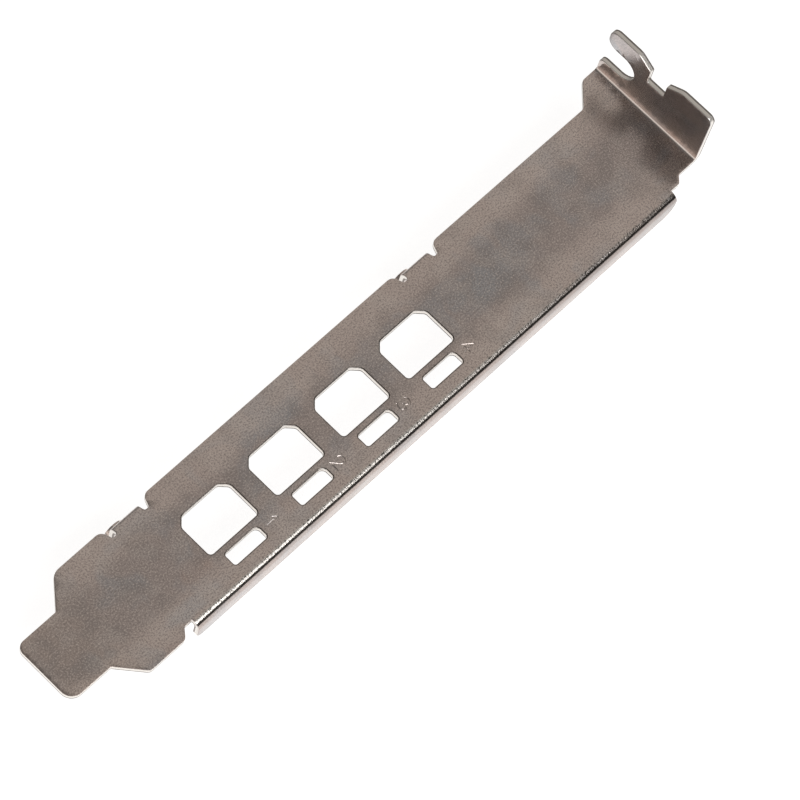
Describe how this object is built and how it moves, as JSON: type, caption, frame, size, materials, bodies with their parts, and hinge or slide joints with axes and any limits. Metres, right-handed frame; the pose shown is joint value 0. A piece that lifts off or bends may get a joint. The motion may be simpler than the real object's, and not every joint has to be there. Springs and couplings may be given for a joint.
{
  "type": "expansion slot bracket",
  "caption": "Full-height expansion card slot bracket folded from plated steel sheet, with cut-outs for ports and latches, threaded board ears, a stiffening flange and a slotted screw tab.",
  "frame": {"origin": "on the screw tab's seating face, on the plate's centre line and level with the fixing screw's axis", "axes": "+X along the plate from the tongue to the screw tab, +Y across the plate from the flange to the ears, +Z out of the plate's outer face, the way the tab points"},
  "size_m": [0.1201, 0.0216, 0.0216],
  "materials": {
    "plated_steel": "nickel plated steel, dulled grey-brown on the flats and bright on its sheared edges"
  },
  "bodies": {
    "root": {"bracket": "plated_steel"}
  },
  "joints": []
}
